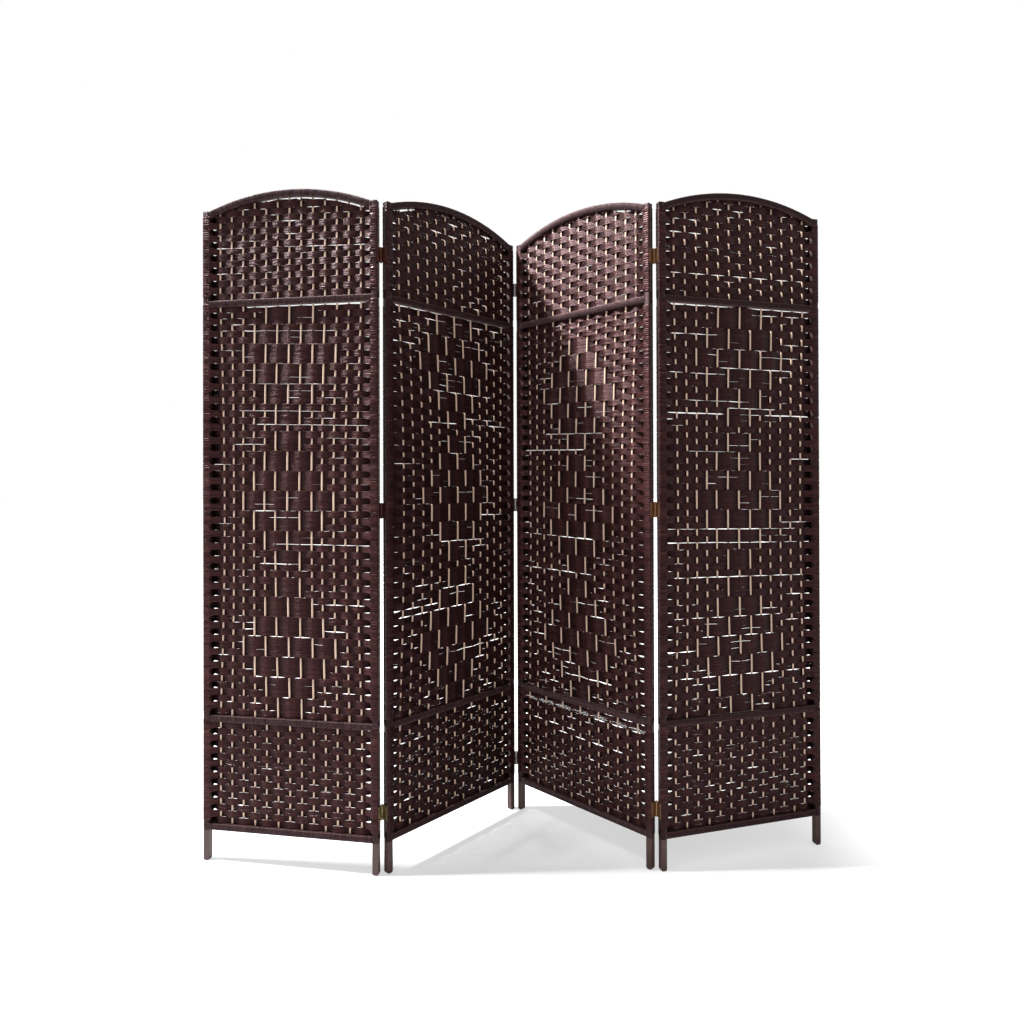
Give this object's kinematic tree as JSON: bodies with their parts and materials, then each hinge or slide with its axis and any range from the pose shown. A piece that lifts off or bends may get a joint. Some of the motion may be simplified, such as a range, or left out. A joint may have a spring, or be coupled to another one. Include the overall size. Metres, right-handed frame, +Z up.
{
  "type": "folding screen",
  "caption": "Free-standing folding screen: arched wooden panels woven with dark flat cord over upright sticks in a diamond pattern, joined edge to edge by brass butt hinges.",
  "frame": {"origin": "on the floor, at the middle of the half-folded screen's plan box", "axes": "+Z up, -Y towards the viewer, +X to the viewer's right"},
  "size_m": [1.7026, 0.3908, 1.8],
  "materials": {
    "natural_wood": "bare light hardwood, matt",
    "stained_posts": "dark brown stain, worn, low sheen",
    "woven_cord": "flat twisted paper cord, dark brown, slightly waxed",
    "wound_cord": "paper cord wound tightly, dark brown, fine ridges",
    "hinge_brass": "aged brass, satin"
  },
  "bodies": {
    "panel_1": {"panel_1_left_post": "stained_posts", "panel_1_right_post": "stained_posts", "panel_1_arch_rail": "natural_wood", "panel_1_upper_rail": "natural_wood", "panel_1_lower_rail": "natural_wood", "panel_1_bottom_rail": "natural_wood", "panel_1_sticks": "natural_wood", "panel_1_upper_weave": "woven_cord", "panel_1_middle_weave": "woven_cord", "panel_1_lower_weave": "woven_cord", "panel_1_cord_wraps": "wound_cord", "fold_1_left_leaves": "hinge_brass", "fold_1_left_screws": "hinge_brass", "fold_1_pins": "hinge_brass"},
    "panel_2": {"panel_2_left_post": "stained_posts", "panel_2_right_post": "stained_posts", "panel_2_arch_rail": "natural_wood", "panel_2_upper_rail": "natural_wood", "panel_2_lower_rail": "natural_wood", "panel_2_bottom_rail": "natural_wood", "panel_2_sticks": "natural_wood", "panel_2_upper_weave": "woven_cord", "panel_2_middle_weave": "woven_cord", "panel_2_lower_weave": "woven_cord", "panel_2_cord_wraps": "wound_cord", "fold_1_right_leaves": "hinge_brass", "fold_1_right_screws": "hinge_brass", "fold_2_left_leaves": "hinge_brass", "fold_2_left_screws": "hinge_brass", "fold_2_pins": "hinge_brass"},
    "panel_3": {"panel_3_left_post": "stained_posts", "panel_3_right_post": "stained_posts", "panel_3_arch_rail": "natural_wood", "panel_3_upper_rail": "natural_wood", "panel_3_lower_rail": "natural_wood", "panel_3_bottom_rail": "natural_wood", "panel_3_sticks": "natural_wood", "panel_3_upper_weave": "woven_cord", "panel_3_middle_weave": "woven_cord", "panel_3_lower_weave": "woven_cord", "panel_3_cord_wraps": "wound_cord", "fold_2_right_leaves": "hinge_brass", "fold_2_right_screws": "hinge_brass", "fold_3_left_leaves": "hinge_brass", "fold_3_left_screws": "hinge_brass", "fold_3_pins": "hinge_brass"},
    "panel_4": {"panel_4_left_post": "stained_posts", "panel_4_right_post": "stained_posts", "panel_4_arch_rail": "natural_wood", "panel_4_upper_rail": "natural_wood", "panel_4_lower_rail": "natural_wood", "panel_4_bottom_rail": "natural_wood", "panel_4_sticks": "natural_wood", "panel_4_upper_weave": "woven_cord", "panel_4_middle_weave": "woven_cord", "panel_4_lower_weave": "woven_cord", "panel_4_cord_wraps": "wound_cord", "fold_3_right_leaves": "hinge_brass", "fold_3_right_screws": "hinge_brass"}
  },
  "joints": [
    {"name": "fold_1", "type": "hinge", "parent": "panel_2", "child": "panel_1", "pos_m": [-0.35562, -0.17451, 0.9], "axis": [0, 0, 1], "range_deg": [-122.5, 57.5]},
    {"name": "fold_2", "type": "hinge", "parent": "panel_2", "child": "panel_3", "pos_m": [-0.00255, 0.18174, 0.9], "axis": [0, 0, 1], "range_deg": [-86.5, 93.5]},
    {"name": "fold_3", "type": "hinge", "parent": "panel_3", "child": "panel_4", "pos_m": [0.36573, -0.15877, 0.9], "axis": [0, 0, 1], "range_deg": [-61.5, 118.5]}
  ]
}
